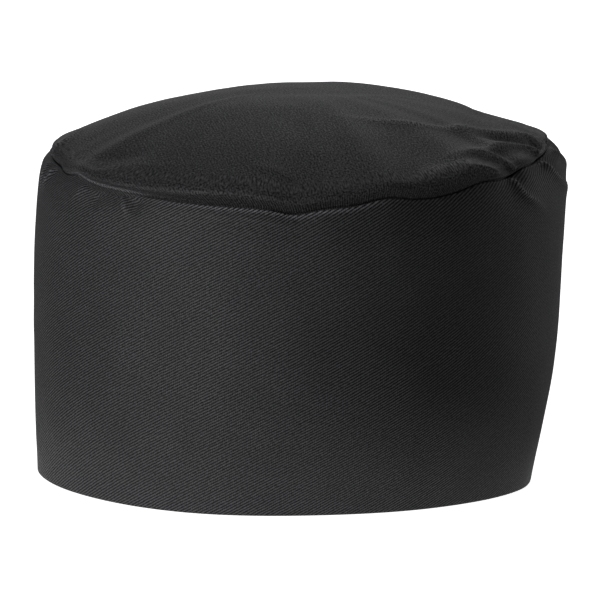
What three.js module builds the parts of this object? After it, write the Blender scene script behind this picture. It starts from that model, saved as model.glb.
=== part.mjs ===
// Round skull cap in black twill: a deep side band and a softly domed crown, sewn together edge to edge.
// Millimetres, +Z up. The cap stands on its hem at z = 0, with its front towards -Y.
import * as THREE from 'three';

// Driving sizes.
const BAND_WALL = 2.0; // the band's twill is doubled, folded over at the hem
const CROWN_WALL = 1.2; // the crown is one layer of twill
const SEAM_GAP = 0.3; // clearance between the crown's edge and the band's edge
const APEX = 143.3; // height of the crown's middle
const DOME_POWER = 2.1; // 2 would give the crown the profile of a parabola, more makes it fuller
const EDGE_IN = 0.2; // the crown's edge at half its turn: shares of the inset
const EDGE_UP = 0.55; // and of the lift
const FACETS = 96; // facets round the cap
const MIDDLE = { x: 0.7, y: -0.5 }; // middle of the sections, which centres the cap's box on the origin

// Sections of the cap, from the front's middle (0 degrees) towards +X (90).
// hem, waist, belly, shoulder, roll and seam are the band's radii from the hem up to the crown's seam.
// rise is the seam's height. inset and lift place the crown's rounded edge: in from the seam, and above it.
const COLUMNS = ['at', 'hem', 'waist', 'belly', 'shoulder', 'roll', 'seam', 'rise', 'inset', 'lift'];
const SECTIONS = [
  [0, 91.8, 97.8, 97, 96.9, 94.9, 93.2, 116, 6, 6],
  [30, 89, 96, 95.7, 96.5, 94.6, 92.8, 113, 6, 7],
  [60, 84.5, 95, 94.5, 95.7, 93.6, 91.4, 112, 6, 7],
  [90, 86, 95, 94, 95.8, 93.2, 91, 114, 6, 7],
  [120, 89.2, 95, 95, 96.7, 94.6, 92, 119.5, 6, 4],
  [135, 86.5, 94.3, 96.4, 97.8, 95.5, 91.8, 122.3, 5.5, 3.2],
  [150, 83, 94, 97.2, 98.1, 95.8, 91.3, 124, 6, 2.4],
  [180, 82, 93, 98.5, 98.2, 95, 91, 123, 6.5, 4.3],
  [210, 86, 94, 97.5, 97.5, 94.5, 91.5, 122, 6, 6.2],
  [240, 90, 95.5, 97.5, 97, 94, 91.3, 121, 6, 5.6],
  [270, 94, 97, 98, 97, 94.3, 91, 120, 6, 4.8],
  [300, 97, 97.8, 98.4, 97, 94.8, 91.5, 119.6, 6, 4.8],
  [325, 97.5, 98.4, 98.1, 96.7, 94.9, 91.5, 120, 5.5, 4.5],
  [340, 95.2, 98, 97.6, 96.8, 94.7, 92, 118, 6, 5.5],
].map((row) => Object.fromEntries(COLUMNS.map((column, i) => [column, row[i]])));

// Heights of the band's named radii, as shares of the seam's height.
const BAND_KNOTS = [
  { share: 0, radius: 'hem' },
  { share: 0.33, radius: 'waist' },
  { share: 0.66, radius: 'belly' },
  { share: 0.88, radius: 'shoulder' },
  { share: 0.965, radius: 'roll' },
  { share: 1, radius: 'seam' },
];

// Rings of facets. The band's are shares of its height. The crown's go from the seam (0) over its
// rounded edge (2) to its middle (5).
const BAND_RINGS = [0, 0.08, 0.18, 0.29, 0.41, 0.53, 0.64, 0.74, 0.82, 0.89, 0.94, 0.975, 1];
const CROWN_RINGS = [0, 0.45, 0.9, 1.4, 2, 2.45, 2.9, 3.4, 3.9, 4.4, 5];

// Places where the seam's thread draws the cloth in and down: reach in degrees, draw and drop in mm.
const PINCHES = [
  { at: -19, reach: 5, draw: 1.5, drop: 0.5 },
  { at: -3, reach: 5, draw: 0, drop: -1 },
  { at: 54, reach: 6, draw: 0.5, drop: 2 },
  { at: 75, reach: 7, draw: 0, drop: -2 },
  { at: 100, reach: 6, draw: 0, drop: -1.5 },
  { at: 112, reach: 5, draw: 2, drop: 0 },
  { at: 127, reach: 5, draw: 2, drop: 0.5 },
  { at: 141, reach: 5, draw: 2, drop: 0.5 },
];

// Ridges (height above 0) and creases (height below 0), each along a line from one place to another.
// A place on the crown is an azimuth and a radius, a place on the band an azimuth and a height.
const CROWN_FOLDS = [
  { from: [98, 52], to: [134, 84], width: 7, height: 1.6 },
  { from: [108, 70], to: [129, 82], width: 6, height: -1.6 },
  { from: [101, 80], to: [123, 90], width: 6, height: 2 },
  { from: [84, 90], to: [106, 88], width: 6, height: 1.5 },
  { from: [150, 73], to: [178, 74], width: 9, height: -2 },
  { from: [-24, 60], to: [-16, 88], width: 9, height: -1 },
];
const BAND_FOLDS = [
  { from: [-19, 116], to: [-26, 108], width: 5, height: 1.2 },
  { from: [-6, 112], to: [-8, 105], width: 5, height: -1 },
  { from: [4, 112], to: [2, 105], width: 5, height: 1 },
  { from: [11, 110], to: [10, 104], width: 5, height: -1 },
  { from: [23, 109], to: [21, 104], width: 5, height: -0.8 },
  { from: [88, 109], to: [90, 103], width: 5, height: 0.8 },
  { from: [112, 116], to: [121, 103], width: 5, height: 1.5 },
  { from: [127, 119], to: [139, 107], width: 5, height: 1.5 },
  { from: [142, 121], to: [150, 110], width: 5, height: 0.8 },
];

// Gathers of the hem across the back, where it is drawn in: even waves that die out up the band.
const GATHERS = { from: 152, to: 208, waves: 7, depth: 1.2, top: 0.4 };

const BLACK_TWILL = { color: 0x232326, roughness: 0.85, metalness: 0 };

const radians = THREE.MathUtils.degToRad;

// Smooth curve through unevenly spaced knots, each an x and a y.
function alongKnots(knots, x) {
  const last = knots.length - 1;
  const i = Math.min(Math.max(knots.findIndex((knot) => knot[0] > x) - 1, 0), last - 1);
  const from = x >= knots[last][0] ? last - 1 : i;
  const slope = (k) => {
    const before = knots[Math.max(k - 1, 0)];
    const after = knots[Math.min(k + 1, last)];
    return (after[1] - before[1]) / (after[0] - before[0]);
  };
  const span = knots[from + 1][0] - knots[from][0];
  const t = (x - knots[from][0]) / span;
  return (1 + 2 * t) * (1 - t) ** 2 * knots[from][1] + t * (1 - t) ** 2 * span * slope(from)
    + t * t * (3 - 2 * t) * knots[from + 1][1] + t * t * (t - 1) * span * slope(from + 1);
}

// A column of SECTIONS, read at an azimuth from 0 to 360. The rows next to 0 are repeated on its far side.
function around(column, azimuth) {
  const knots = (rows, turn) => rows.map((section) => [section.at + turn, section[column]]);
  const before = knots(SECTIONS.slice(-2), -360);
  const after = knots(SECTIONS.slice(0, 2), 360);
  return alongKnots([...before, ...knots(SECTIONS, 0), ...after], azimuth);
}

// How far the pinches move the seam in ('draw') or down ('drop') at an azimuth.
function pinched(amount, azimuth) {
  return PINCHES.reduce((sum, pinch) => {
    const away = (((azimuth - pinch.at + 540) % 360) - 180) / pinch.reach;
    return sum + pinch[amount] * Math.exp(-away * away);
  }, 0);
}

// How far the hem's gathers stand in or out.
function gathered(azimuth, share) {
  const across = (azimuth - GATHERS.from) / (GATHERS.to - GATHERS.from);
  if (across <= 0 || across >= 1 || share >= GATHERS.top) return 0;
  const fade = Math.sin(Math.PI * across) * (1 - share / GATHERS.top);
  return -GATHERS.depth * fade * Math.sin(2 * Math.PI * GATHERS.waves * across);
}

function polar(azimuth, radius, z) {
  return new THREE.Vector3(radius * Math.sin(radians(azimuth)), -radius * Math.cos(radians(azimuth)), z);
}

function bandPoint(azimuth, share) {
  const knots = BAND_KNOTS.map((knot) => [knot.share, around(knot.radius, azimuth)]);
  knots.at(-1)[1] -= pinched('draw', azimuth);
  const z = share * (around('rise', azimuth) - pinched('drop', azimuth));
  return polar(azimuth, alongKnots(knots, share) + gathered(azimuth, share), z);
}

function crownPoint(azimuth, step) {
  const seam = around('seam', azimuth) - pinched('draw', azimuth);
  const rise = around('rise', azimuth) - pinched('drop', azimuth) + SEAM_GAP;
  const inset = around('inset', azimuth);
  const brow = around('seam', azimuth) - inset;
  const lift = around('lift', azimuth);
  const dome = (share) => [brow * share, APEX - (APEX - rise - lift) * share ** DOME_POWER];
  const edge = [[seam, rise], [seam - EDGE_IN * inset, rise + EDGE_UP * lift]];
  const knots = [...edge, dome(1), dome(0.7), dome(0.35), dome(0)];
  const radius = alongKnots(knots.map((knot, i) => [i, knot[0]]), step);
  return polar(azimuth, radius, alongKnots(knots.map((knot, i) => [i, knot[1]]), step));
}

// Rings of points, one array for each step, each with a point for each facet.
function ringsOf(steps, pointAt) {
  return steps.map((step) => Array.from({ length: FACETS }, (_, i) => pointAt((i * 360) / FACETS, step)));
}

// Moves each point of the rings out along the surface's own normal, by the distance that outBy gives for
// the point and the number of its ring.
function offset(rings, outBy) {
  return rings.map((ring, j) => ring.map((point, i) => {
    const across = ring[(i + 1) % FACETS].clone().sub(ring[(i + FACETS - 1) % FACETS]);
    const up = rings[Math.min(j + 1, rings.length - 1)][i].clone().sub(rings[Math.max(j - 1, 0)][i]);
    return point.clone().addScaledVector(across.cross(up).normalize(), outBy(point, j));
  }));
}

// Raises the folds on the rings. flatten lays a point on the flat cloth, where a fold fades with the distance
// from its own line. freedom has the share of a fold's height that each ring takes, which is 0 at the seam.
function folded(rings, folds, flatten, freedom) {
  const lines = folds.map(({ from, to, width, height }) => {
    const start = flatten(polar(from[0], from[1], from[1]));
    return { start, line: flatten(polar(to[0], to[1], to[1])).sub(start), width, height };
  });
  const height = (point, j) => freedom[j] * lines.reduce((sum, fold) => {
    const spot = flatten(point).sub(fold.start);
    const share = THREE.MathUtils.clamp(spot.dot(fold.line) / fold.line.lengthSq(), 0, 1);
    const away = spot.addScaledVector(fold.line, -share).length() / fold.width;
    return sum + fold.height * Math.exp(-away * away);
  }, 0);
  return offset(rings, height);
}

// The crown laid flat is its plan. The band laid flat is unrolled: azimuth along its girth, and height.
const crownFlat = (point) => new THREE.Vector2(point.x, point.y);
const bandFlat = (point) => new THREE.Vector2(SECTIONS[0].belly * Math.atan2(point.x, -point.y), point.z);

function solid(points, faces) {
  const geometry = new THREE.BufferGeometry();
  geometry.setAttribute('position', new THREE.Float32BufferAttribute(points.flatMap((p) => p.toArray()), 3));
  geometry.setIndex(faces);
  geometry.computeVertexNormals();
  return geometry;
}

// Two triangles for each facet between one ring of points and the next.
function strip(here, next) {
  return Array.from({ length: FACETS }, (_, i) => {
    const k = (i + 1) % FACETS;
    return [here + i, here + k, next + k, here + i, next + k, next + i];
  }).flat();
}

// The band is a loop of rings: up its outside, over the seam, down its inside and round the hem.
// Its walls end level with each other at the hem and at the seam.
function sideBand() {
  const freedom = BAND_RINGS.map((share) => 1 - THREE.MathUtils.smoothstep(share, 0.92, 1));
  const outer = folded(ringsOf(BAND_RINGS, bandPoint), BAND_FOLDS, bandFlat, freedom);
  const inner = offset(outer, () => -BAND_WALL);
  inner[0].forEach((point) => point.setZ(0));
  inner.at(-1).forEach((point, i) => point.setZ(outer.at(-1)[i].z));
  const rings = [...outer, ...inner.reverse()];
  const faces = rings.flatMap((_, j) => strip(j * FACETS, ((j + 1) % rings.length) * FACETS));
  return solid(rings.flat(), faces);
}

// The crown is two domes that share an open edge, which lies over the band's top edge.
function crownTop() {
  const freedom = CROWN_RINGS.map((step) => THREE.MathUtils.smoothstep(step, 0, 2));
  const outer = folded(ringsOf(CROWN_RINGS, crownPoint), CROWN_FOLDS, crownFlat, freedom);
  const inner = offset(outer, () => -CROWN_WALL);
  inner[0].forEach((point, i) => point.setZ(outer[0][i].z));
  const rings = [...inner.slice(0, -1).reverse(), ...outer.slice(0, -1)];
  const last = (rings.length - 1) * FACETS;
  const under = last + FACETS;
  const top = under + 1;
  const faces = rings.slice(1).flatMap((_, j) => strip(j * FACETS, (j + 1) * FACETS));
  for (let i = 0; i < FACETS; i += 1) {
    const k = (i + 1) % FACETS;
    faces.push(under, k, i, top, last + i, last + k);
  }
  const middle = new THREE.Vector3(0, 0, APEX - CROWN_WALL);
  return solid([...rings.flat(), middle, new THREE.Vector3(0, 0, APEX)], faces);
}

function piece(name, geometry) {
  geometry.translate(MIDDLE.x, MIDDLE.y, 0);
  const mesh = new THREE.Mesh(geometry, new THREE.MeshStandardMaterial(BLACK_TWILL));
  mesh.name = name;
  return mesh;
}

const cap = new THREE.Group();
cap.add(piece('side_band', sideBand()), piece('crown_top', crownTop()));

export default cap;
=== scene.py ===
"""Black twill skull cap: a folded side band and a domed crown, each shaped from its own flat cloth."""
import math
from collections import namedtuple

import bmesh
import bpy
import numpy as np
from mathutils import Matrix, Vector, noise


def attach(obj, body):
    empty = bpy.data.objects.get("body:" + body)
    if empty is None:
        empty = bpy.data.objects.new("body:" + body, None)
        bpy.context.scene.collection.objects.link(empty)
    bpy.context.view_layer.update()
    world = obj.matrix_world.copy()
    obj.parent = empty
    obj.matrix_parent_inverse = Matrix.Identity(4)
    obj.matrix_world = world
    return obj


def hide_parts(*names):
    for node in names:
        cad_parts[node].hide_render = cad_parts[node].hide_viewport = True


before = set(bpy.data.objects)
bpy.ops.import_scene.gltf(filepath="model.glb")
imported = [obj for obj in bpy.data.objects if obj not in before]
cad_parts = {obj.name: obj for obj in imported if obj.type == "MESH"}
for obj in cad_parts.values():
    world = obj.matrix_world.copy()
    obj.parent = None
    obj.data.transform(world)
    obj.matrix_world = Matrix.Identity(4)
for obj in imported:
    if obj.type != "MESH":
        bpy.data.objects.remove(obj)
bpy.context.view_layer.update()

bl_info = {
    "name": "Twill Skull Cap",
    "version": (1, 0, 0),
    "blender": (4, 5, 0),
    "location": "View3D > Sidebar > Skull Cap",
    "description": "Builds a round skull cap in black twill, with its stage",
    "category": "Add Mesh",
}

MM = 0.001

# The tables are in millimetres and degrees. An azimuth runs from the front's middle (0) towards +X (90).

# Sections of the cap. hem, waist, belly, shoulder, roll and seam are the band's radii from the hem up to the
# seam. rise is the seam's height. inset and lift place the crown's rounded edge: in from the seam, and up.
Section = namedtuple("Section", "at hem waist belly shoulder roll seam rise inset lift")
SECTIONS = (
    Section(0, 91.8, 97.8, 97, 96.9, 94.9, 93.2, 116, 6, 6),
    Section(30, 89, 96, 95.7, 96.5, 94.6, 92.8, 113, 6, 7),
    Section(60, 84.5, 95, 94.5, 95.7, 93.6, 91.4, 112, 6, 7),
    Section(90, 86, 95, 94, 95.8, 93.2, 91, 114, 6, 7),
    Section(120, 89.2, 95, 95, 96.7, 94.6, 92, 119.5, 6, 4),
    Section(135, 86.5, 94.3, 96.4, 97.8, 95.5, 91.8, 122.3, 5.5, 3.2),
    Section(150, 83, 94, 97.2, 98.1, 95.8, 91.3, 124, 6, 2.4),
    Section(180, 82, 93, 98.5, 98.2, 95, 91, 123, 6.5, 4.3),
    Section(210, 86, 94, 97.5, 97.5, 94.5, 91.5, 122, 6, 6.2),
    Section(240, 90, 95.5, 97.5, 97, 94, 91.3, 121, 6, 5.6),
    Section(270, 94, 97, 98, 97, 94.3, 91, 120, 6, 4.8),
    Section(300, 97, 97.8, 98.4, 97, 94.8, 91.5, 119.6, 6, 4.8),
    Section(325, 97.5, 98.4, 98.1, 96.7, 94.9, 91.5, 120, 5.5, 4.5),
    Section(340, 95.2, 98, 97.6, 96.8, 94.7, 92, 118, 6, 5.5),
)

# Shares of the seam's height at which the band has its named radii.
BAND_KNOTS = ((0, "hem"), (0.33, "waist"), (0.66, "belly"), (0.88, "shoulder"), (0.965, "roll"), (1, "seam"))

# The dome is a parabola at a power of 2, and fuller above it. Halfway round its edge, the crown is in from
# the seam by EDGE_IN of the inset, and above it by EDGE_UP of the lift. MIDDLE moves the sections so that the
# cap's box stands over the origin.
DOME_POWER = 2.1
EDGE_IN = 0.2
EDGE_UP = 0.55
MIDDLE = (0.7, -0.5)

# ROW_CROWDING above 1 brings the band's rows closer together towards the seam. The band's inner layer ends
# INNER_DROP under its top. DOME_SHARE of the flat crown's radius is dome, and the rest is its rounded edge.
# The crown's allowance leans in by ALLOWANCE_LEAN at its end.
ROW_CROWDING = 1.3
INNER_DROP = 1.5
DOME_SHARE = 0.9
ALLOWANCE_LEAN = 1.2

# Stretches of each piece's cloth and the rows in each: the band's from its allowance inside the cap to its
# inner edge, the crown's from its middle to the end of its allowance. The columns go round the cap. STRIP is
# the length of the band's cloth laid flat.
Stretch = namedtuple("Stretch", "name rows")
BAND_STRETCHES = (
    Stretch("allowance", 4),
    Stretch("turn", 7),
    Stretch("outside", 66),
    Stretch("hem", 7),
    Stretch("inside", 22),
)
BAND_COLUMNS = 400
STRIP = 605
CROWN_STRETCHES = (
    Stretch("dome", 62),
    Stretch("edge", 26),
    Stretch("turn", 7),
    Stretch("allowance", 4),
)
CROWN_COLUMNS = 440

# Where the cloth is folded most, its columns stand closer together.
Dense = namedtuple("Dense", "at reach extra")
DENSE = (Dense(20, 45, 1.2), Dense(122, 34, 2.6))

# Places where the seam's thread draws the cloth in, and down or, with a drop below 0, up.
Pinch = namedtuple("Pinch", "at reach draw drop")
PINCHES = (
    Pinch(-19, 4, 1.5, 0.5),
    Pinch(-12, 4, 0, 0.6),
    Pinch(-3, 4, 0, -1.3),
    Pinch(54, 5, 0.5, 2.0),
    Pinch(75, 6, 0, -2.2),
    Pinch(100, 6, 0, -1.6),
    Pinch(111.5, 3.5, 1.2, 0.6),
    Pinch(117, 4, 0, -1.0),
    Pinch(126, 3.5, 1.2, 0.5),
    Pinch(141, 4, 1.2, 0.5),
)

# Where one edge of the seam stands proud of the other: out moves the crown's edge out and the band's in. The
# proud edge carries a painted highlight, lighter by the amount below for each millimetre. LAP_SHARES of its
# height is where the band bends.
PROUD_EDGE_PAINTED_HIGHLIGHT = 1.6
LAP_SHARES = (0.94, 0.99)
Lap = namedtuple("Lap", "at reach out")
LAPS = (
    Lap(6, 12, 1.2),
    Lap(52, 22, -0.9),
)

# Where the crown's cloth rolls out over the seam and back under to it: how far out and up its roll moves, and
# how far up the crown's brow does.
Roll = namedtuple("Roll", "at reach out up brow")
ROLLS = (
    Roll(44, 36, 2.0, 0.5, 1.7),
    Roll(40, 13, 0.8, 1.0, 1.2),
    Roll(8, 12, 0.9, 0.3, 0.6),
    Roll(92, 12, 0.8, 0.6, 0.8),
)

# Ridges (height above 0) and creases (below 0) on the flat cloth. line has places: an azimuth and a radius on
# the crown, an azimuth and a height on the band. left and right are how far the fold falls away on its two
# sides, tip is how round its top is. begin and finish are the shares of its length over which it fades. light
# is a painted highlight that lightens the colour along the crest, over about the crown's or the band's width
# below on each side.
Fold = namedtuple("Fold", "line height left right tip begin finish light", defaults=(0,))
CROWN_HIGHLIGHT_WIDTH = 1.8
BAND_HIGHLIGHT_WIDTH = 0.7
CROWN_FOLDS = (
    Fold(((-20, 50), (-4, 42), (20, 35), (50, 34), (75, 41)), 0.35, 10, 10, 5, 0.4, 0.3),
    Fold(((-36, 38), (8, 15), (108, 14), (144, 30), (147, 50), (147, 68), (146, 82)),
         -0.9, 8, 8, 4, 0.3, 0.2),
    Fold(((235, 24), (190, 30), (171, 45), (162, 62), (156, 78)), 0.8, 9, 9, 5, 0.3, 0.2),
    Fold(((61.5, 40), (73.5, 44), (90, 51.5), (102, 60), (111, 64.5), (123, 71), (131, 79.5), (138, 85.5),
          (142, 92)), 1.0, 1.8, 2.2, 0.4, 0.45, 0.1, 2.0),
    Fold(((85, 28), (118, 25), (140, 33), (146, 41), (143, 50)), 0.35, 2.0, 2.5, 0.6, 0.3, 0.3),
    Fold(((113, 74), (124, 79), (130, 86), (131, 91)), -1.5, 2.5, 2.5, 1.0, 0.3, 0.2),
    Fold(((88, 84), (99, 83.3), (107.5, 82.3), (114, 82.7), (122, 84.4), (127, 88), (127.5, 94)),
         2.0, 3.0, 2.2, 0.5, 0.35, 0.1, 1.0),
    Fold(((103, 83.5), (108, 84.2), (111.5, 86.3), (112.5, 89), (113, 95)),
         1.4, 1.6, 1.6, 0.3, 0.4, 0.0, 1.2),
    Fold(((80, 90), (86, 88.8), (92.5, 88.3), (98.5, 89.4), (103, 91.9), (107, 96)),
         1.4, 3.0, 2.0, 0.5, 0.3, 0.1, 0.7),
    Fold(((137, 86), (132, 92), (131, 98)), -2.2, 2.2, 2.2, 1.0, 0.3, 0.0),
    Fold(((40, 82), (47, 82.6), (51, 83.6), (54, 85.6)), 0.5, 2.5, 1.2, 0.4, 0.3, 0.3),
    Fold(((-6, 96), (0, 92.5), (6.5, 89.6), (16, 86.1), (24, 85)), 0.7, 2.5, 2.5, 0.8, 0.2, 0.3),
    Fold(((-11.5, 90), (-3, 88.5), (1.5, 85.5), (7.5, 81), (14, 79)), -0.9, 4, 4, 2, 0.3, 0.3),
    Fold(((-41, 81), (-34, 85), (-28.5, 89.3), (-26, 96)), 1.5, 2.0, 2.0, 0.5, 0.3, 0.0, 1.5),
    Fold(((148, 74), (158, 78), (170, 78), (182, 76)), -2.4, 6, 6, 4, 0.3, 0.3),
)
BAND_FOLDS = (
    Fold(((111.2, 119), (111.4, 117), (111.6, 115), (113, 111.5), (117.5, 107.6), (125.5, 101)),
         1.6, 1.0, 1.8, 0.2, 0.0, 0.35, 2.0),
    Fold(((126.5, 121), (127.3, 118), (131, 113.7), (140, 107.4), (148, 101)),
         1.8, 1.5, 2.4, 0.3, 0.0, 0.5, 1.8),
    Fold(((138, 122), (141, 118), (148, 111)), 1.4, 2.2, 2.2, 0.6, 0.0, 0.4),
    Fold(((-18, 118), (-19, 116), (-20.5, 112.5), (-23.5, 108)), 1.7, 1.2, 1.8, 0.2, 0.0, 0.4, 2.2),
    Fold(((-26, 119), (-24.7, 115), (-24.3, 111), (-25, 105)), 1.4, 1.6, 1.6, 0.4, 0.0, 0.5, 1.5),
    Fold(((-0.5, 115), (-1, 114), (-2.5, 111), (-4.5, 106)), 1.0, 1.6, 1.6, 0.5, 0.1, 0.5, 0.5),
    Fold(((4.5, 113), (4, 107)), -1.2, 1.6, 1.6, 0.8, 0.1, 0.5),
    Fold(((12, 113), (13.5, 110), (15, 105)), 1.0, 1.6, 1.6, 0.5, 0.1, 0.5, 0.5),
    Fold(((17, 113), (16.5, 110), (16, 106)), -1.3, 1.4, 1.4, 0.7, 0.1, 0.5),
    Fold(((84, 113), (86, 111.5), (87, 109)), -0.6, 1.5, 1.5, 0.6, 0.1, 0.4),
)

# Where the band's shaping sets in or dies out, from the first value to the second: its folds and the painted
# highlight on its proud edge by the distance under the seam, its unevenness by the height above the floor,
# and both folds and unevenness by the share of the outside and of the hem. The crown's fades are shares of
# its rounded edge, for its folds and for the painted highlight on its proud edge.
BAND_FADES = {
    "folds": (2.2, 0.6),
    "edge": (2.1, 1.1),
    "floor": (4, 16),
    "outside": (0, 0.02),
    "hem": (0, 0.5),
}
CROWN_FADES = {"folds": (0.75, 1), "edge": (0.85, 0.93)}

# Slight unevenness of the cloth: how far it goes in and out, and over what length.
Waver = namedtuple("Waver", "height length")
CROWN_WAVERS = (Waver(0.35, 24), Waver(0.12, 8))
BAND_WAVERS = (Waver(0.3, 30), Waver(0.08, 9))

# The look of each piece's twill: the slope of its ribs on the flat cloth, how strongly ribs and grain show,
# how fine the grain is and how much longer it is along the ribs. The last two are how much painted shade
# darkens the cloth, and how much more strongly ribbed it is, where it rolls back under to the seam.
Weave = namedtuple("Weave", "angle rib grain grain_scale grain_length tucked_dark tucked_rib")
BAND_WEAVE = Weave(27, 1.8, 3.0, 1000, 1.0, 0, 0)
CROWN_WEAVE = Weave(-22, 0.3, 7.0, 1450, 1.2, 0.35, 1.2)

# Where the crown counts as tucked: between two flat radii, and where its roll stands out by least to most.
# There the twill carries painted shade and stronger ribs.
TUCKED = {"from": 92, "to": 97, "least": 0.4, "most": 1.4}

# What both twills share: how fine and how strong the ribs' wobble and the cloudy patches are, how far the
# threads slant from one rib to the next, how strongly they show, and the least tone of a groove.
PATTERN = {"wobble_scale": 260, "wobble": 2.2, "cloud_scale": 55, "cloud": 0.5, "slant": 0.5, "thread": 0.3,
           "least_tone": 0.04}

# Gathers of the hem across the back, where it is drawn in. top is the share of the band's height they reach.
GATHERS = {"from": 152, "to": 208, "waves": 7, "depth": 1.2, "top": 0.4}


class CapSizes(bpy.types.PropertyGroup):
    band_cloth: bpy.props.FloatProperty(
        name="Band cloth", description="Thickness of one layer of the band", default=0.0005, unit="LENGTH")
    crown_cloth: bpy.props.FloatProperty(
        name="Crown cloth", description="Thickness of the crown", default=0.0006, unit="LENGTH")
    band_wall: bpy.props.FloatProperty(
        name="Band wall", description="Both layers of the band together", default=0.002, unit="LENGTH")
    seam_gap: bpy.props.FloatProperty(
        name="Seam gap", description="Room between the crown's edge and the band's", default=0.0003,
        unit="LENGTH")
    allowance: bpy.props.FloatProperty(
        name="Seam allowance", description="Cloth turned down inside the seam", default=0.007, unit="LENGTH")
    turn: bpy.props.FloatProperty(
        name="Turn", description="Radius at which the cloth turns in at the seam", default=0.0004,
        unit="LENGTH")
    apex: bpy.props.FloatProperty(
        name="Height", description="Height of the crown's middle", default=0.1433, unit="LENGTH")
    disc: bpy.props.FloatProperty(
        name="Crown disc", description="Radius of the flat crown, to the seam", default=0.098, unit="LENGTH")
    girth: bpy.props.FloatProperty(
        name="Girth", description="Length of the band's strip", default=STRIP * MM, unit="LENGTH")


class CapFinish(bpy.types.PropertyGroup):
    colour: bpy.props.FloatVectorProperty(
        name="Twill", description="Colour of the twill", subtype="COLOR", size=3,
        default=(0.022, 0.022, 0.0235))
    rib: bpy.props.FloatProperty(
        name="Rib spacing", description="Distance from one rib of the twill to the next", default=0.00092,
        unit="LENGTH")
    thread: bpy.props.FloatProperty(
        name="Thread spacing", description="Distance from one thread to the next along a rib", default=0.0009,
        unit="LENGTH")
    relief: bpy.props.FloatProperty(
        name="Relief", description="Height of the ribs and the grain", default=0.00003, unit="LENGTH")
    roughness: bpy.props.FloatProperty(
        name="Roughness", description="Roughness of the twill", default=0.64, subtype="FACTOR")
    rib_shine: bpy.props.FloatProperty(
        name="Rib shine", description="How much smoother the ribs are than the grooves", default=0.06,
        subtype="FACTOR")
    gloss: bpy.props.FloatProperty(
        name="Gloss", description="Strength of the twill's reflection", default=0.2, subtype="FACTOR")


class CapStage(bpy.types.PropertyGroup):
    azimuth: bpy.props.FloatProperty(
        name="Azimuth", description="Camera's place round the cap", default=math.radians(55),
        subtype="ANGLE", unit="ROTATION")
    elevation: bpy.props.FloatProperty(
        name="Elevation", description="Camera's angle above the floor", default=math.radians(9.5),
        subtype="ANGLE", unit="ROTATION")
    distance: bpy.props.FloatProperty(
        name="Distance", description="Camera's distance from its aim", default=2.2, unit="LENGTH")
    aim: bpy.props.FloatProperty(
        name="Aim height", description="Height of the point that the camera looks at", default=0.064,
        unit="LENGTH")
    lens: bpy.props.FloatProperty(
        name="Lens", description="Focal length", default=356.8, unit="CAMERA")


def through(a, b, c, d, t):
    """Smooth curve through four values, at t from the second (0) to the third (1)."""
    return b + 0.5 * t * (c - a + t * (2 * a - 5 * b + 4 * c - d + t * (3 * (b - c) + d - a)))


def smooth(x, low, high):
    """0 below low, 1 above high, and a smooth step between."""
    t = np.clip((x - low) / (high - low), 0, 1)
    return t * t * (3 - 2 * t)


def bend(start, end, low, high, slope_low, slope_high, x):
    """Smooth curve from low at start to high at end, with the slopes it has there."""
    span = end - start
    t = np.clip((x - start) / span, 0, 1)
    return ((1 + 2 * t) * (1 - t) ** 2 * low + t * (1 - t) ** 2 * span * slope_low
            + t * t * (3 - 2 * t) * high + t * t * (t - 1) * span * slope_high)


def around(column, azimuth):
    """A column of SECTIONS, read at each azimuth."""
    rows = [SECTIONS[i % len(SECTIONS)] for i in range(-2, len(SECTIONS) + 2)]
    values = np.array([getattr(row, column) for row in rows], float)
    at = np.array([row.at for row in rows], float)
    at[:2] -= 360
    at[-2:] += 360
    slope = np.zeros_like(values)
    slope[1:-1] = (values[2:] - values[:-2]) / (at[2:] - at[:-2])
    place = azimuth % 360
    k = np.searchsorted(at, place, side="right") - 1
    return bend(at[k], at[k + 1], values[k], values[k + 1], slope[k], slope[k + 1], place)


def along(heights, values, x):
    """Smooth curve through unevenly spaced knots: heights are numbers, each of values an array."""
    last = len(heights) - 1

    def slope(k):
        before, after = max(k - 1, 0), min(k + 1, last)
        return (values[after] - values[before]) / (heights[after] - heights[before])

    result = np.zeros_like(x)
    for k in range(last):
        piece = bend(heights[k], heights[k + 1], values[k], values[k + 1], slope(k), slope(k + 1), x)
        result = np.where((x >= heights[k]) | (k == 0), piece, result)
    return result


def away_from(azimuth, at):
    """Degrees from a place round the cap, from -180 to 180."""
    return (azimuth - at + 180) % 360 - 180


def pinched(amount, azimuth):
    """How far the pinches move the seam in ('draw') or down ('drop')."""
    return sum(getattr(pinch, amount) * np.exp(-(away_from(azimuth, pinch.at) / pinch.reach) ** 2)
               for pinch in PINCHES)


def lapped(azimuth):
    """How far the crown's edge stands out past the seam, and the band's edge in."""
    return sum(lap.out * np.exp(-(away_from(azimuth, lap.at) / lap.reach) ** 4) for lap in LAPS)


def rolled(amount, azimuth):
    """How far the rolls move the crown's edge 'out' or 'up', or its 'brow' up."""
    return sum(getattr(roll, amount) * np.exp(-(away_from(azimuth, roll.at) / roll.reach) ** 2)
               for roll in ROLLS)


def gathered(azimuth, share):
    """How far the hem's gathers stand in or out."""
    across = np.clip(((azimuth % 360) - GATHERS["from"]) / (GATHERS["to"] - GATHERS["from"]), 0, 1)
    fade = np.sin(np.pi * across) * np.clip(1 - share / GATHERS["top"], 0, 1)
    return -GATHERS["depth"] * fade * np.sin(2 * np.pi * GATHERS["waves"] * across)


def placed(azimuth, radius, height):
    """Points of the cap from their azimuth, radius and height."""
    turned = np.radians(azimuth)
    return np.stack(np.broadcast_arrays(radius * np.sin(turned), -radius * np.cos(turned), height), axis=-1)


def smooth_line(places, flatten, steps=6):
    """Points along a smooth curve through places of the flat cloth."""
    knots = [flatten(*place) for place in places]
    knots = [2 * knots[0] - knots[1], *knots, 2 * knots[-1] - knots[-2]]
    line = [through(a, b, c, d, i / steps)
            for a, b, c, d in zip(knots, knots[1:], knots[2:], knots[3:]) for i in range(steps)]
    return [*line, knots[-2]]


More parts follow.
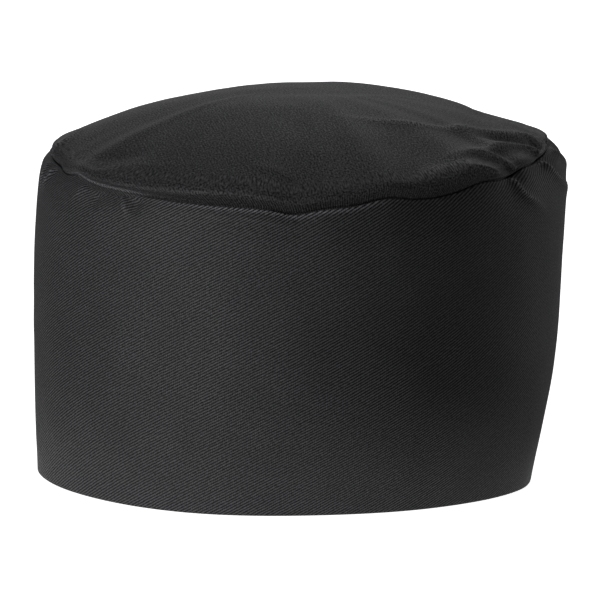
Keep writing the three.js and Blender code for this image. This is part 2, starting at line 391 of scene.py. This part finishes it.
def one_fold(spots, fold, crest, flatten):
    """How far a fold lifts each spot of the flat cloth, and the painted highlight that lightens its crest."""
    line = smooth_line(fold.line, flatten)
    nearest = np.full(len(spots), np.inf)
    side = np.zeros(len(spots))
    share = np.zeros(len(spots))
    for i, (here, there) in enumerate(zip(line, line[1:])):
        step = there - here
        part = np.clip((spots - here) @ step / (step @ step), 0, 1)
        gap = spots - here - part[:, None] * step
        distance = np.hypot(gap[:, 0], gap[:, 1])
        closer = distance < nearest
        nearest = np.where(closer, distance, nearest)
        side = np.where(closer, step[0] * gap[:, 1] - step[1] * gap[:, 0], side)
        share = np.where(closer, (i + part) / (len(line) - 1), share)
    width = np.where(side > 0, fold.left, fold.right)
    fall = np.exp(-(np.sqrt(nearest ** 2 + fold.tip ** 2) - fold.tip) / width)
    begin = smooth(share, 0, fold.begin) if fold.begin else 1
    finish = smooth(1 - share, 0, fold.finish) if fold.finish else 1
    return np.stack([fold.height * fall, fold.light * np.exp(-(nearest / crest) ** 2)]) * begin * finish


def folded(spots, folds, crest, flatten):
    """How far all the folds lift the cloth, and the painted highlight that lightens their crests."""
    return sum(one_fold(spots, fold, crest, flatten) for fold in folds)


def wavered(points, wavers):
    """How far the cloth's slight unevenness lifts it at points in space."""
    return sum(waver.height * np.array([noise.noise(Vector(point / waver.length)) for point in points])
               for waver in wavers)


def disc_spot(azimuth, radius):
    """A place on the crown's flat disc."""
    return placed(azimuth, radius, 0)[..., :2]


def strip_spot(azimuth, height):
    """A place on the band's flat strip."""
    return np.stack([azimuth / 360 * STRIP, height * np.ones_like(azimuth)], axis=-1)


def spread(share):
    """Azimuths at shares of the columns, which stand closer together where the cloth is folded."""
    tenths = np.linspace(-180, 180, 360 * 10 + 1)
    density = 1 + sum(dense.extra * np.exp(-(away_from(tenths, dense.at) / dense.reach) ** 4)
                      for dense in DENSE)
    total = np.concatenate([[0], np.cumsum((density[1:] + density[:-1]) / 2)])
    return np.interp(share, total / total[-1], tenths)


def stretch_of(share, stretches):
    """How far along each stretch a share of all the rows is: below 0 before it, and above 1 past it."""
    rows = share * sum(stretch.rows for stretch in stretches)
    start = 0
    parts = {}
    for stretch in stretches:
        parts[stretch.name] = (rows - start) / stretch.rows
        start += stretch.rows
    return parts


def choose(parts, stretches, values):
    """Each row's value, taken from its own stretch."""
    result = values[stretches[0].name]
    for stretch in stretches[1:]:
        result = np.where(parts[stretch.name] > 1e-6, values[stretch.name], result)
    return result


def band_radius(azimuth, share):
    """Radius of the band's outer face."""
    values = [around(name, azimuth) for _, name in BAND_KNOTS]
    values[-1] = values[-1] - pinched("draw", azimuth)
    lip = lapped(azimuth) * smooth(share, *LAP_SHARES)
    return along([height for height, _ in BAND_KNOTS], values, share) + gathered(azimuth, share) - lip


def band_profile(azimuth, share, sizes):
    """The middle of the band's cloth at each point: its radius, height, place on the strip and stretches."""
    half, wall = sizes.band_cloth / MM / 2, sizes.band_wall / MM
    turn, allowance = sizes.turn / MM, sizes.allowance / MM
    rise = around("rise", azimuth) - pinched("drop", azimuth)
    top = rise - half - turn
    low = wall / 2
    parts = {name: np.clip(part, 0, 1) for name, part in stretch_of(share, BAND_STRETCHES).items()}
    height_out = low + (top - low) * (1 - parts["outside"] ** ROW_CROWDING)
    seam = band_radius(azimuth, top / rise) - half
    swing = np.pi * parts["turn"]
    hem_swing = np.pi * parts["hem"]
    hem_turn = wall / 2 - half
    foot = band_radius(azimuth, low / rise)
    height_in = low + (top - INNER_DROP - low) * parts["inside"]
    arc, hem_arc = np.pi * turn, np.pi * hem_turn
    radius = choose(parts, BAND_STRETCHES, {
        "allowance": seam - 2 * turn,
        "turn": seam - turn - turn * np.cos(swing),
        "outside": band_radius(azimuth, height_out / rise) - half,
        "hem": foot - wall / 2 + hem_turn * np.cos(hem_swing),
        "inside": band_radius(azimuth, height_in / rise) - wall + half,
    })
    height = choose(parts, BAND_STRETCHES, {
        "allowance": top - allowance * (1 - parts["allowance"]),
        "turn": top + turn * np.sin(swing),
        "outside": height_out,
        "hem": low - hem_turn * np.sin(hem_swing),
        "inside": height_in,
    })
    cloth = choose(parts, BAND_STRETCHES, {
        "allowance": top + arc + allowance * (1 - parts["allowance"]),
        "turn": top + arc * (1 - parts["turn"]),
        "outside": height_out,
        "hem": low - hem_arc * parts["hem"],
        "inside": low - hem_arc - (height_in - low),
    })
    return radius, height, cloth, parts


def crown_profile(azimuth, share, sizes):
    """The middle of the crown's cloth at each point: its radius, height, flat radius and stretches."""
    half, gap = sizes.crown_cloth / MM / 2, sizes.seam_gap / MM
    turn, allowance = sizes.turn / MM, sizes.allowance / MM
    disc, apex = sizes.disc / MM, sizes.apex / MM
    seam = around("seam", azimuth) - pinched("draw", azimuth) + lapped(azimuth)
    rise = around("rise", azimuth) - pinched("drop", azimuth) + gap
    inset, lift = around("inset", azimuth), around("lift", azimuth)
    brow = around("seam", azimuth) - inset
    crest = rise + lift + rolled("brow", azimuth)
    parts = {name: np.clip(part, 0, 1) for name, part in stretch_of(share, CROWN_STRETCHES).items()}
    dome = parts["dome"]
    edge = parts["edge"]
    inner = 0.7
    radii = [brow * inner, brow, seam - EDGE_IN * inset + rolled("out", azimuth), seam]
    heights = [apex - (apex - crest) * inner ** DOME_POWER, crest,
               rise + EDGE_UP * lift + rolled("up", azimuth), rise + turn + half]
    step = edge * 2
    bow = along([-1, 0, 1, 2], radii, step)
    fall = along([-1, 0, 1, 2], heights, step)
    foot = seam - half
    swing = np.pi * parts["turn"]
    radius = choose(parts, CROWN_STRETCHES, {
        "dome": brow * dome,
        "edge": bow - half * smooth(edge, 0.5, 1),
        "turn": foot - turn + turn * np.cos(swing),
        "allowance": foot - 2 * turn - ALLOWANCE_LEAN * parts["allowance"],
    })
    height = choose(parts, CROWN_STRETCHES, {
        "dome": apex - (apex - crest) * dome ** DOME_POWER - half,
        "edge": fall - half * (1 - smooth(edge, 0.5, 1)),
        "turn": rise + turn + half - turn * np.sin(swing),
        "allowance": rise + turn + half - allowance * parts["allowance"],
    })
    flat = choose(parts, CROWN_STRETCHES, {
        "dome": DOME_SHARE * disc * dome,
        "edge": disc * (DOME_SHARE + (1 - DOME_SHARE) * edge),
        "turn": disc + np.pi * turn * parts["turn"],
        "allowance": disc + np.pi * turn + allowance * parts["allowance"],
    })
    return radius, height, flat, parts


def raised(azimuth, share, surface, lift):
    """Points of a surface, each moved out along the surface's own normal by its lift."""
    nudge_round, nudge_up = 0.05, 1e-4
    before, after = np.clip(share - nudge_up, 0, 1), np.clip(share + nudge_up, 0, 1)
    round_it = surface(azimuth + nudge_round, share) - surface(azimuth - nudge_round, share)
    up_it = surface(azimuth, after) - surface(azimuth, before)
    normal = np.cross(round_it, up_it)
    length = np.linalg.norm(normal, axis=1, keepdims=True)
    normal = normal / np.maximum(length, 1e-12)
    return surface(azimuth, share) + normal * lift[:, None]


def coordinates(bm):
    """Every vertex's place, as rows of an array."""
    return np.array([vert.co for vert in bm.verts])


def settle(bm, points):
    """Moves every vertex to its point, given in millimetres from the middle of the sections."""
    for vert, point in zip(bm.verts, points):
        vert.co = Vector(((point[0] + MIDDLE[0]) * MM, (point[1] + MIDDLE[1]) * MM, point[2] * MM))


def lay_out(bm, spots, marks):
    """Writes each vertex's place on the flat cloth to the UV map, in metres, and its marks to attributes."""
    layer = bm.loops.layers.uv.new("FlatCloth")
    for face in bm.faces:
        for loop in face.loops:
            loop[layer].uv = spots[loop.vert.index] * MM
    for name, values in marks.items():
        mark = bm.verts.layers.float.new(name)
        for vert, value in zip(bm.verts, values):
            vert[mark] = value


def add_object(name, data):
    """Adds an object to the scene."""
    made = bpy.data.objects.new(name, data)
    bpy.context.scene.collection.objects.link(made)
    return made


def add_mesh(name, bm, material):
    """Adds a finished bmesh to the scene, as an object of one material."""
    mesh = bpy.data.meshes.new(name)
    bm.to_mesh(mesh)
    bm.free()
    mesh.materials.append(material)
    return add_object(name, mesh)


def make_piece(name, bm, thickness, material):
    """Turns a finished bmesh into a piece with the cloth's thickness."""
    for face in bm.faces:
        face.smooth = True
    piece = add_mesh(name, bm, material)
    wall = piece.modifiers.new("Cloth thickness", "SOLIDIFY")
    wall.thickness = thickness
    wall.offset = 0
    wall.use_even_offset = False
    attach(piece, "root")
    return piece


def under(height, top, fade):
    """0 below the first distance of a fade under the top, and 1 above the second."""
    return smooth(height, top - fade[0], top - fade[1])


def band_shape(sizes):
    """The band's strip: a flat grid rolled round, folded under at the hem and turned in at the seam."""
    bm = bmesh.new()
    rows = sum(stretch.rows for stretch in BAND_STRETCHES)
    bmesh.ops.create_grid(bm, x_segments=BAND_COLUMNS, y_segments=rows, size=0.5)
    shares = np.clip(coordinates(bm)[:, :2] + 0.5, 0, 1)
    azimuth = spread(shares[:, 0])

    def surface(azimuth, share):
        radius, height, _, _ = band_profile(azimuth, share, sizes)
        return placed(azimuth, radius, height)

    radius, height, cloth, parts = band_profile(azimuth, shares[:, 1], sizes)
    rise = around("rise", azimuth)
    outer = smooth(parts["outside"], *BAND_FADES["outside"]) * (1 - smooth(parts["hem"], *BAND_FADES["hem"]))
    free = outer * (1 - under(height, rise, BAND_FADES["folds"]))
    # light is the painted highlight along the crests of the band's folds.
    lift, light = folded(strip_spot(azimuth, height), BAND_FOLDS, BAND_HIGHLIGHT_WIDTH, strip_spot)
    lift += wavered(placed(azimuth, radius, height), BAND_WAVERS) * smooth(height, *BAND_FADES["floor"])
    top = rise - pinched("drop", azimuth)
    # Painted highlight on the band's top edge where it stands proud of the crown, added to the painted
    # highlight along the folds' crests.
    edge = PROUD_EDGE_PAINTED_HIGHLIGHT * np.maximum(-lapped(azimuth), 0) * under(height, top, BAND_FADES["edge"])
    crest = light * outer + edge * (parts["inside"] <= 0)
    settle(bm, raised(azimuth, shares[:, 1], surface, -lift * free))
    lay_out(bm, strip_spot(azimuth, cloth), {"crest": crest, "tucked": np.zeros_like(crest)})
    bmesh.ops.remove_doubles(bm, verts=bm.verts, dist=1e-6)
    bmesh.ops.recalc_face_normals(bm, faces=bm.faces)
    return bm


def crown_shape(sizes):
    """The crown's disc: a line spun round, laid over the dome and turned in at the seam."""
    bm = bmesh.new()
    rows = sum(stretch.rows for stretch in CROWN_STRETCHES)
    line = [bm.verts.new((0, -row / rows, 0)) for row in range(rows + 1)]
    edges = [bm.edges.new(pair) for pair in zip(line, line[1:])]
    bmesh.ops.spin(bm, geom=line + edges, cent=(0, 0, 0), axis=(0, 0, 1), angle=2 * math.pi,
                   steps=CROWN_COLUMNS, use_merge=True)
    bmesh.ops.remove_doubles(bm, verts=bm.verts, dist=1e-6)
    bm.verts.index_update()
    flat = coordinates(bm)
    share = np.clip(np.hypot(flat[:, 0], flat[:, 1]), 0, 1)
    azimuth = spread((np.degrees(np.arctan2(flat[:, 0], -flat[:, 1])) + 180) / 360)

    def surface(azimuth, share):
        radius, height, _, _ = crown_profile(azimuth, share, sizes)
        return placed(azimuth, radius, height)

    radius, height, flat_radius, parts = crown_profile(azimuth, share, sizes)
    spots = disc_spot(azimuth, flat_radius)
    free = 1 - smooth(parts["edge"], *CROWN_FADES["folds"])
    # light is the painted highlight along the crests of the crown's folds.
    lift, light = folded(spots, CROWN_FOLDS, CROWN_HIGHLIGHT_WIDTH, disc_spot)
    lift += wavered(placed(azimuth, radius, height), CROWN_WAVERS)
    # Painted highlight on the crown's edge where it stands proud of the band.
    light += PROUD_EDGE_PAINTED_HIGHLIGHT * np.maximum(lapped(azimuth), 0) * smooth(parts["edge"], *CROWN_FADES["edge"])
    settle(bm, raised(azimuth, share, surface, -lift * free))
    # Where the crown rolls back under to the seam: the twill paints shade there and strengthens its ribs.
    tucked = smooth(flat_radius, TUCKED["from"], TUCKED["to"])
    tucked = tucked * smooth(rolled("out", azimuth), TUCKED["least"], TUCKED["most"])
    lay_out(bm, spots, {"crest": light * (1 - parts["turn"]), "tucked": tucked})
    bmesh.ops.recalc_face_normals(bm, faces=bm.faces)
    return bm


def add_node(tree, kind, inputs, **settings):
    """Adds a shader node with its settings, each input set to a value or linked to another node's output."""
    made = tree.nodes.new("ShaderNode" + kind)
    for name, value in settings.items():
        setattr(made, name, value)
    for name, value in inputs.items():
        if isinstance(value, bpy.types.NodeSocket):
            tree.links.new(value, made.inputs[name])
        else:
            made.inputs[name].default_value = value
    return made.outputs


def maths(tree, operation, *values):
    """The output of a maths node."""
    return add_node(tree, "Math", dict(enumerate(values)), operation=operation)[0]


def noise_at(tree, place, scale, detail):
    """The output of a noise texture."""
    return add_node(tree, "TexNoise", {"Vector": place, "Scale": scale, "Detail": detail})["Fac"]


def new_material(name):
    """A material with its node tree and its shader node."""
    material = bpy.data.materials.new(name)
    material.use_nodes = True
    return material, material.node_tree, material.node_tree.nodes["Principled BSDF"]


def twill(name, weave, finish):
    """Black twill: fine diagonal ribs of slanting threads and a speckled grain, with painted highlights along
    fold crests and proud seam edges, and painted shade where the crown rolls under.
    """
    material, tree, shader = new_material(name)
    place = add_node(tree, "TexCoord", {})["UV"]
    turned = add_node(tree, "Mapping", {"Vector": place, "Rotation": (0, 0, math.radians(weave.angle))},
                      vector_type="TEXTURE")["Vector"]
    drawn = add_node(tree, "VectorMath", {0: turned, 1: (1 / weave.grain_length, 1, 1)},
                     operation="MULTIPLY")[0]
    axes = add_node(tree, "SeparateXYZ", {0: turned})

    wobble = noise_at(tree, place, PATTERN["wobble_scale"], 1)
    grain = noise_at(tree, drawn, weave.grain_scale, 2)
    cloud = noise_at(tree, place, PATTERN["cloud_scale"], 3)
    tucked = add_node(tree, "Attribute", {}, attribute_name="tucked")["Fac"]
    crest = add_node(tree, "Attribute", {}, attribute_name="crest")["Fac"]

    uneven = maths(tree, "MULTIPLY_ADD", wobble, PATTERN["wobble"], -PATTERN["wobble"] / 2)
    across = maths(tree, "MULTIPLY_ADD", axes["Y"], 2 * math.pi / finish.rib, uneven)
    slanted = maths(tree, "MULTIPLY_ADD", axes["X"], 2 * math.pi / finish.thread,
                    maths(tree, "MULTIPLY", across, PATTERN["slant"]))
    thread = maths(tree, "MULTIPLY_ADD", maths(tree, "SINE", slanted), PATTERN["thread"],
                   1 - PATTERN["thread"])
    rib = maths(tree, "MULTIPLY", maths(tree, "SINE", across), thread)
    speckle = maths(tree, "MULTIPLY_ADD", grain, weave.grain, -0.5 * weave.grain)
    strength = maths(tree, "MULTIPLY_ADD", tucked, weave.tucked_rib, weave.rib)
    relief = maths(tree, "MULTIPLY_ADD", rib, strength, speckle)

    tone = maths(tree, "MAXIMUM", maths(tree, "ADD", relief, 1), PATTERN["least_tone"])
    patchy = maths(tree, "MULTIPLY_ADD", cloud, PATTERN["cloud"], 1 - PATTERN["cloud"] / 2)
    # Painted shade where the crown is tucked, and painted highlight along fold crests and proud seam edges.
    painted_shade_and_highlight = maths(tree, "MULTIPLY_ADD", tucked, -weave.tucked_dark, maths(tree, "ADD", crest, 1))
    shade = maths(tree, "MULTIPLY", maths(tree, "MULTIPLY", tone, patchy), painted_shade_and_highlight)
    colour = add_node(tree, "Mix", {"Factor": 1, "A": (*finish.colour, 1), "B": shade}, data_type="RGBA",
                      blend_type="MULTIPLY")["Result"]
    rough = maths(tree, "MULTIPLY_ADD", relief, -finish.rib_shine, finish.roughness)
    bump = add_node(tree, "Bump", {"Height": relief, "Strength": 1, "Distance": finish.relief})["Normal"]

    tree.links.new(colour, shader.inputs["Base Color"])
    tree.links.new(rough, shader.inputs["Roughness"])
    tree.links.new(bump, shader.inputs["Normal"])
    shader.inputs["Specular IOR Level"].default_value = finish.gloss
    return material


class CAP_OT_side_band(bpy.types.Operator):
    """Add the side band: one strip of twill, folded under at the hem and turned in at the seam"""

    bl_idname = "skull_cap.side_band"
    bl_label = "Side Band"

    def execute(self, context):
        sizes, finish = context.scene.cap_sizes, context.scene.cap_finish
        bm = band_shape(sizes)
        piece = make_piece("band_cloth", bm, sizes.band_cloth, twill("band twill", BAND_WEAVE, finish))
        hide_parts("side_band")
        return {"FINISHED"}


class CAP_OT_crown(bpy.types.Operator):
    """Add the crown: a disc of twill, domed over the band and turned in at the seam"""

    bl_idname = "skull_cap.crown"
    bl_label = "Crown"

    def execute(self, context):
        sizes, finish = context.scene.cap_sizes, context.scene.cap_finish
        bm = crown_shape(sizes)
        piece = make_piece("crown_cloth", bm, sizes.crown_cloth, twill("crown twill", CROWN_WEAVE, finish))
        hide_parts("crown_top")
        return {"FINISHED"}


# Softboxes, turned to the cap: places in degrees and metres, sizes in metres and powers in watts.
Lamp = namedtuple("Lamp", "name azimuth elevation distance width height power")
LAMPS = (
    Lamp("key softbox", 9, 10, 1.8, 1.1, 0.6, 28),
    Lamp("high softbox", -150, 60, 1.8, 0.9, 0.9, 6),
    Lamp("back softbox", -134, 30, 1.8, 0.6, 0.6, 2.6),
    Lamp("right softbox", -108, 30, 1.8, 0.6, 0.6, 0.8),
    Lamp("low softbox", -116, 10, 1.8, 0.6, 0.6, 1.2),
    Lamp("left softbox", 172, 10, 1.8, 0.9, 0.6, 5),
)

# The floor, and the pool of light that it gives round the cap: full up to near, and none from far on.
FLOOR = {"half_side": 8, "colour": (0.85, 0.85, 0.85, 1), "roughness": 0.9}
POOL = {"middle": (0.005, -0.025, 0), "near": 0.1, "far": 0.14, "glow": 0.7}
WHITE = (1, 1, 1, 1)
SENSOR_MM = 36


def stand_back(thing, azimuth, elevation, distance, aim):
    """Places a lamp or the camera round the cap, turned to its middle at the aim's height, in radians."""
    towards = Vector((math.sin(azimuth) * math.cos(elevation), -math.cos(azimuth) * math.cos(elevation),
                      math.sin(elevation)))
    thing.location = towards * distance + Vector((0, 0, aim))
    thing.rotation_mode = "QUATERNION"
    thing.rotation_quaternion = towards.to_track_quat("Z", "Y")


def pale_floor():
    """Matt white, evenly bright in the picture, that gives its own light only in a pool round the cap."""
    material, tree, shader = new_material("pale floor")
    place = add_node(tree, "TexCoord", {})["Object"]
    away = add_node(tree, "VectorMath", {0: place, 1: POOL["middle"]}, operation="DISTANCE")["Value"]
    pool = add_node(tree, "MapRange", {"Value": away, "From Min": POOL["near"], "From Max": POOL["far"],
                                       "To Min": POOL["glow"], "To Max": 0},
                    interpolation_type="SMOOTHSTEP")["Result"]
    seen = add_node(tree, "LightPath", {})["Is Camera Ray"]
    tree.links.new(maths(tree, "MAXIMUM", pool, seen), shader.inputs["Emission Strength"])
    shader.inputs["Base Color"].default_value = FLOOR["colour"]
    shader.inputs["Roughness"].default_value = FLOOR["roughness"]
    shader.inputs["Specular IOR Level"].default_value = 0
    shader.inputs["Emission Color"].default_value = WHITE
    return material


def add_floor():
    """The plain floor that the cap stands on."""
    bm = bmesh.new()
    bmesh.ops.create_grid(bm, x_segments=1, y_segments=1, size=FLOOR["half_side"])
    floor = add_mesh("floor", bm, pale_floor())


def add_lamp(lamp, aim):
    """One softbox."""
    data = bpy.data.lights.new(lamp.name, "AREA")
    data.shape = "RECTANGLE"
    data.size, data.size_y = lamp.width, lamp.height
    data.energy = lamp.power
    light = add_object(lamp.name, data)
    stand_back(light, math.radians(lamp.azimuth), math.radians(lamp.elevation), lamp.distance, aim)


def add_world():
    """A world that gives no light of its own."""
    world = bpy.data.worlds.new("studio")
    world.use_nodes = True
    background = world.node_tree.nodes["Background"]
    background.inputs["Color"].default_value = WHITE
    background.inputs["Strength"].default_value = 0
    bpy.context.scene.world = world


def add_camera(stage):
    """The camera, at the photo's angle to the cap."""
    data = bpy.data.cameras.new("camera")
    data.lens = stage.lens
    data.sensor_width = SENSOR_MM
    camera = add_object("camera", data)
    stand_back(camera, stage.azimuth, stage.elevation, stage.distance, stage.aim)
    bpy.context.scene.camera = camera


class CAP_OT_stage(bpy.types.Operator):
    """Add the pale floor, the softboxes and the camera"""

    bl_idname = "skull_cap.stage"
    bl_label = "Stage"

    def execute(self, context):
        stage = context.scene.cap_stage
        add_floor()
        for lamp in LAMPS:
            add_lamp(lamp, stage.aim)
        add_world()
        add_camera(stage)
        context.scene.view_settings.view_transform = "Standard"
        return {"FINISHED"}


class CAP_PT_panel(bpy.types.Panel):
    """Sizes, finish and steps of the cap"""

    bl_idname = "CAP_PT_panel"
    bl_label = "Skull Cap"
    bl_space_type = "VIEW_3D"
    bl_region_type = "UI"
    bl_category = "Skull Cap"

    def draw(self, context):
        scene = context.scene
        for group in (scene.cap_sizes, scene.cap_finish, scene.cap_stage):
            box = self.layout.box()
            for name in group.__annotations__:
                box.prop(group, name)
        for step in STEPS:
            self.layout.operator(step.bl_idname)


GROUPS = {"cap_sizes": CapSizes, "cap_finish": CapFinish, "cap_stage": CapStage}
STEPS = (CAP_OT_side_band, CAP_OT_crown, CAP_OT_stage)


def register():
    for group in (*GROUPS.values(), *STEPS, CAP_PT_panel):
        bpy.utils.register_class(group)
    for name, group in GROUPS.items():
        setattr(bpy.types.Scene, name, bpy.props.PointerProperty(type=group))


def unregister():
    for name in GROUPS:
        delattr(bpy.types.Scene, name)
    for group in reversed((*GROUPS.values(), *STEPS, CAP_PT_panel)):
        bpy.utils.unregister_class(group)


def main():
    register()
    bpy.ops.skull_cap.side_band()
    bpy.ops.skull_cap.crown()
    bpy.ops.skull_cap.stage()


if __name__ == "__main__":
    main()
